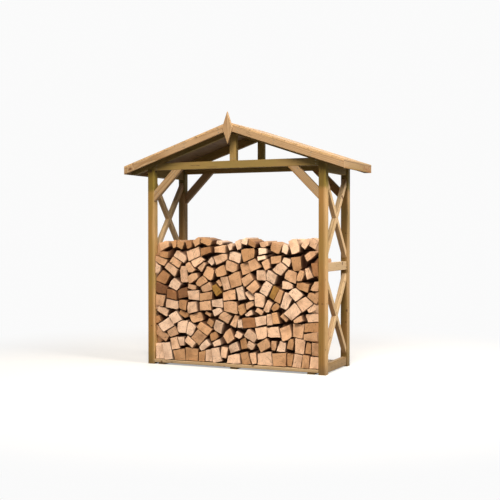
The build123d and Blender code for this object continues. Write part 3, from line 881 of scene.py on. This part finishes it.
class LOGSTORE_OT_stack_firewood(bpy.types.Operator):
    """Stacks split logs in the bay, in a lower and an upper half"""
    bl_idname = "log_store.stack_firewood"
    bl_label = "Stack the firewood"

    def execute(self, context):
        look = context.scene.log_store_firewood
        material = split_hardwood(look)
        rng = Random(look.seed + 1)
        halves = {"lower": [], "upper": []}
        for room, on_top in stack_rooms(look):
            y_front = PILE_FRONT + rng.uniform(*SETBACK)
            if rng.random() < FEW:
                y_front += rng.uniform(*PUSHED_IN)
            y_rear = PILE_REAR - rng.uniform(*SETBACK)
            half = "lower" if middle(room)[1] < SLATS_HI.z + look.height / 2 else "upper"
            halves[half].append((room, on_top, y_front, y_rear))
        # The small log left lying on the right middle rail, 44 mm high and 185 mm long
        x, wide, high = INNER_X + FIT, PILE_HI.x - INNER_X - FIT, 0.044
        kindling = [(x, RAIL_TOP), (x + wide, RAIL_TOP), (x + 0.85 * wide, RAIL_TOP + high - 0.006),
                    (x + 0.15 * wide, RAIL_TOP + high)]
        halves["upper"].append((kindling, True, POST_HI.y + 0.015, POST_HI.y + 0.2))
        for half, rooms in halves.items():
            logs = build_logs(f"split_logs_{half}", rooms, look, rng)
            logs.data.materials.append(material)
            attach(logs, "root")
            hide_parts(f"firewood_{half}")
        return {"FINISHED"}


def screw_places():
    """Where screws go, as (place, direction the head faces)."""
    places = []

    def pair(x, y, z, facing, spread):
        """Two heads, each the spread away from the point between them."""
        for sign in (-1, 1):
            places.append((Vector((x, y, z)) + sign * Vector(spread), Vector(facing)))

    sides = ((-1, "left"), (1, "right"))
    for end, y, facing in (("front", FRONT, (0, -1, 0)), ("rear", REAR, (0, 1, 0))):
        for side, name in sides:
            # At both ends of a knee brace, and where the beam meets the post
            lo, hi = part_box(f"knee_brace_{end}_{name}")
            leg = hi.z - lo.z - KNEE / 2 * sqrt(2)
            for share in (0.14, 0.86):
                x, z = side * (INNER_X - share * leg), hi.z - (1 - share) * leg
                pair(x, y, z, facing, (side * 0.013, 0, 0.013))
            pair(side * (INNER_X - 0.028), y, (BEAM_LO.z + BEAM_HI.z) / 2 - 0.004, facing, (0, 0, 0.015))
        # At the foot of the king post
        pair(0, y, BEAM_HI.z + 0.02, facing, (0.018, 0, 0))
    for side, name in sides:
        # Four pairs along the middle of a front bargeboard
        for x in (0.1, 0.46, 0.82, 1.09):
            z = RIDGE_Z - x * tan(PITCH) - 0.5 * BARGE / cos(PITCH)
            pair(side * x, BARGE_FRONT, z, (0, -1, 0), (side * 0.004, 0, 0.0125))
        # Through each roof board into the middle of both rafters
        outward = Vector((side * sin(PITCH), 0, cos(PITCH)))
        down = Vector((side * cos(PITCH), 0, -sin(PITCH)))
        for index in range(ROOF_BOARDS):
            for y in (FRONT + RAFTER_T / 2, REAR - RAFTER_T / 2):
                over_rafter = Vector((0, y, RIDGE_Z)) + down * (index + 0.5) * ROOF_PITCH + outward * ROOF_T
                pair(*over_rafter, outward, down * 0.036)
        # Near the ends of the side rails, 12 mm in from the posts
        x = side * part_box("side_rail_mid_right")[1].x
        inward = POST / 2 + 0.012
        for y in (POST_LO.y + POST / 2 + inward, REAR_HI.y - POST / 2 - inward):
            for level in ("bottom", "mid", "top"):
                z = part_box(f"side_rail_{level}_right")[0].z + RAIL / 2
                pair(x, y, z, (side, 0, 0), (0, 0, 0.018))
    # Through each slat into the three bearers
    for index in range(SLATS):
        for x in (-BEARER_X, 0, BEARER_X):
            y = SLATS_LO.y - SLAT_GAP / 2 + (index + 0.5) * SLAT_PITCH
            pair(x, y, SLATS_HI.z, (0, 0, 1), (0, 0.028, 0))
    return places


def screw_tree(material):
    """Countersunk screw heads with a round socket, one on every point it is given."""
    tree = bpy.data.node_groups.new("Screw heads", "GeometryNodeTree")
    add = partial(add_node, tree)
    tree.interface.new_socket("Places", in_out="INPUT", socket_type="NodeSocketGeometry")
    for name in ("Head radius", "Head height", "Socket share", "Socket depth"):
        tree.interface.new_socket(name, in_out="INPUT", socket_type="NodeSocketFloat")
    tree.interface.new_socket("Screws", in_out="OUTPUT", socket_type="NodeSocketGeometry")
    given = add("NodeGroupInput").outputs
    # A head widens by a twenty-fifth towards the wood
    bottom = add("Math", "MULTIPLY", given["Head radius"], 1.04)
    head = add("GeometryNodeMeshCone", {"fill_type": "NGON"}, Vertices=12, Radius_Top=given["Head radius"],
               Radius_Bottom=bottom, Depth=given["Head height"])
    rim = add("GeometryNodeExtrudeMesh", {"mode": "FACES"}, Mesh=head.outputs["Mesh"],
              Selection=head.outputs["Top"], Offset_Scale=0.0)
    narrowed = add("GeometryNodeScaleElements", {"domain": "FACE"}, Geometry=rim.outputs["Mesh"],
                   Selection=rim.outputs["Top"], Scale=given["Socket share"])
    sunk = add("Math", "MULTIPLY", given["Socket depth"], -1.0)
    socket = add("GeometryNodeExtrudeMesh", {"mode": "FACES"}, Mesh=narrowed,
                 Selection=rim.outputs["Top"], Offset_Scale=sunk)
    facing = add("GeometryNodeInputNamedAttribute", {"data_type": "FLOAT_VECTOR"}, Name="facing")
    turned = add("FunctionNodeAlignRotationToVector", {"axis": "Z"}, Vector=facing)
    placed = add("GeometryNodeInstanceOnPoints", Points=given["Places"], Instance=socket.outputs["Mesh"],
                 Rotation=turned)
    real = add("GeometryNodeRealizeInstances", Geometry=placed)
    coated = add("GeometryNodeSetMaterial", Geometry=real, Material=material)
    add("NodeGroupOutput", Screws=coated)
    return tree


def zinc_plate(look):
    """Zinc-plated steel, darkened by weather and the preservative in the wood.

    To the eye it gives dull grey heads with brown specks, hardly brighter than the wood.
    """
    material, add = new_material("Zinc-plated steel")
    # Spots of brown corrosion, 2 mm across
    spots = add("TexNoise", Vector=add("TexCoord").outputs["Object"], Scale=480.0, Detail=2.0)
    share = add("MapRange", Value=spots, From=(0.45, 0.7))
    colour = add("Mix", RGBA, i0=share, i6=look.zinc, i7=linear("#5b4a38"))
    rough = add("MapRange", Value=spots, To=(0.35, 0.75))
    bump = add("Bump", Strength=0.3, Distance=0.0002, Height=spots)
    shader = add("BsdfPrincipled", Base_Color=colour, Roughness=rough, Normal=bump, Metallic=1.0)
    add("OutputMaterial", Surface=shader)
    return material


class LOGSTORE_OT_drive_screws(bpy.types.Operator):
    """Puts screw heads at the joints, in the roof boards and in the floor"""
    bl_idname = "log_store.drive_screws"
    bl_label = "Drive the screws"

    def execute(self, context):
        look = context.scene.log_store_fixings
        places = screw_places()
        seat = bpy.data.meshes.new("screw_places")
        seat.from_pydata([place for place, _ in places], [], [])
        seat.attributes.new("facing", "FLOAT_VECTOR", "POINT").data.foreach_set(
            "vector", [c for _, facing in places for c in facing])
        holder = bpy.data.objects.new("screw_places", seat)
        context.scene.collection.objects.link(holder)
        tree = screw_tree(zinc_plate(look))
        modifier = holder.modifiers.new("Screws", "NODES")
        modifier.node_group = tree
        sizes = {"Head radius": look.head, "Head height": look.proud, "Socket share": look.socket,
                 "Socket depth": look.proud * 0.9}
        for item in tree.interface.items_tree:
            if item.in_out == "INPUT" and item.name in sizes:
                modifier[item.identifier] = sizes[item.name]
        ready = holder.evaluated_get(context.evaluated_depsgraph_get())
        mesh = bpy.data.meshes.new_from_object(ready)
        holder.modifiers.remove(modifier)
        holder.data = mesh
        holder.name = mesh.name = "screws"
        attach(holder, "root")
        return {"FINISHED"}


def aim(thing, place, target):
    thing.location = place
    thing.rotation_euler = (Vector(target) - Vector(place)).to_track_quat("-Z", "Y").to_euler()


def lamp(name, azimuth, elevation, distance, size, power, colour):
    """An area lamp round the store: azimuth 0 is straight in front, 90 is from its right."""
    light = bpy.data.lights.new(name, "AREA")
    light.shape, light.size, light.size_y = "RECTANGLE", size, size
    light.energy, light.color = power, colour
    lamp_object = bpy.data.objects.new(name, light)
    bpy.context.scene.collection.objects.link(lamp_object)
    a, e = radians(azimuth), radians(elevation)
    # About half way up the store
    centre = Vector((0, 0, 1.1))
    aim(lamp_object, centre + distance * Vector((sin(a) * cos(e), -cos(a) * cos(e), sin(e))), centre)


def seen_ray(add):
    """1 for the camera's own rays and those that a glossy or clear surface throws on, 0 for all others."""
    path = add("LightPath").outputs
    seen = add("Math", "MAXIMUM", path["Is Camera Ray"], path["Is Glossy Ray"])
    return add("Math", "MAXIMUM", seen, path["Is Transmission Ray"])


def studio_floor(look):
    """Matt painted board.

    To the eye it gives a pale floor that fades to white where it runs out of sight. It throws less light
    back on the store than its look would.
    """
    material, add = new_material("Matt studio floor")
    far = add("VectorMath", "LENGTH", add("TexCoord").outputs["Object"])
    fade = add("MapRange", SMOOTH, Value=far, From=(1.2, 4.2))
    pale = add("BsdfDiffuse", Color=look.floor)
    dull = add("BsdfDiffuse", Color=linear("#6f6a62"))
    white = add("Emission", Color=(1, 1, 1, 1), Strength=0.96)
    share = add("Math", "MULTIPLY_ADD", fade, 0.6, 0.4)
    faded = add("MixShader", i0=share, i1=pale, i2=white)
    add("OutputMaterial", Surface=add("MixShader", i0=seen_ray(add), i1=dull, i2=faded))
    return material


class LOGSTORE_OT_set_stage(bpy.types.Operator):
    """Lays the floor and places the lamps, the surround and the camera"""
    bl_idname = "log_store.set_stage"
    bl_label = "Set the stage"

    def execute(self, context):
        look = context.scene.log_store_stage
        scene = context.scene
        # 60 m each way, and half a millimetre down so that it never shows through the timber
        reach, under = 60.0, -0.0005
        mesh = bpy.data.meshes.new("studio_floor")
        mesh.from_pydata([(-reach, -reach, under), (reach, -reach, under), (reach, reach, under),
                          (-reach, reach, under)], [], [(0, 1, 2, 3)])
        floor = bpy.data.objects.new("studio_floor", mesh)
        scene.collection.objects.link(floor)
        mesh.materials.append(studio_floor(look))

        world = bpy.data.worlds.new("Studio surround")
        scene.world = world
        world.use_nodes = True
        world.node_tree.nodes.clear()
        add = partial(add_node, world.node_tree)
        light = add("Background", Color=linear("#f4f6ff"), Strength=look.sky)
        white = add("Background", Color=(1, 1, 1, 1), Strength=0.96)
        add("OutputWorld", Surface=add("MixShader", i0=seen_ray(add), i1=light, i2=white))

        lamp("Front lamp", 14, 44, 8.0, 3.0, look.front, linear("#fff3e2")[:3])
        lamp("Side lamp", 82, 34, 8.0, 3.0, look.side, linear("#fff6ea")[:3])
        lamp("Rear lamp", 205, 38, 8.0, 4.0, look.rear, linear("#f2f5ff")[:3])

        # From the front right, almost nine metres away and at chest height
        camera = bpy.data.objects.new("Camera", bpy.data.cameras.new("Camera"))
        scene.collection.objects.link(camera)
        camera.location = (3.682, -7.972, 1.283)
        camera.rotation_euler = (radians(88.933), 0, radians(24.53))
        camera.data.sensor_width, camera.data.lens = 36.0, 65.2
        scene.camera = camera
        scene.view_settings.view_transform = "Standard"
        return {"FINISHED"}


STEPS = ("dress_frame", "dress_roof", "stack_firewood", "drive_screws", "set_stage")


class LOGSTORE_PT_panel(bpy.types.Panel):
    """Lists the steps that dress the log store, with their sizes and colours"""
    bl_label = "Log store"
    bl_idname = "LOGSTORE_PT_panel"
    bl_space_type = "VIEW_3D"
    bl_region_type = "UI"
    bl_category = "Log store"

    def draw(self, context):
        layout = self.layout
        for name, group, steps in (
            ("Timber", context.scene.log_store_timber, STEPS[:2]),
            ("Firewood", context.scene.log_store_firewood, STEPS[2:3]),
            ("Fixings", context.scene.log_store_fixings, STEPS[3:4]),
            ("Stage", context.scene.log_store_stage, STEPS[4:]),
        ):
            box = layout.box()
            box.label(text=name)
            for prop in group.bl_rna.properties:
                if prop.identifier not in ("rna_type", "name"):
                    box.prop(group, prop.identifier)
            for step in steps:
                box.operator(f"log_store.{step}")


CLASSES = (TimberSettings, FirewoodSettings, FixingSettings, StageSettings, LOGSTORE_OT_dress_frame,
           LOGSTORE_OT_dress_roof, LOGSTORE_OT_stack_firewood, LOGSTORE_OT_drive_screws,
           LOGSTORE_OT_set_stage, LOGSTORE_PT_panel)
SETTINGS = {"log_store_timber": TimberSettings, "log_store_firewood": FirewoodSettings,
            "log_store_fixings": FixingSettings, "log_store_stage": StageSettings}


def register():
    for item in CLASSES:
        bpy.utils.register_class(item)
    for name, group in SETTINGS.items():
        setattr(bpy.types.Scene, name, PointerProperty(type=group))


def unregister():
    for name in SETTINGS:
        delattr(bpy.types.Scene, name)
    for item in reversed(CLASSES):
        bpy.utils.unregister_class(item)


def main():
    register()
    for step in STEPS:
        getattr(bpy.ops.log_store, step)()


if __name__ == "__main__":
    main()
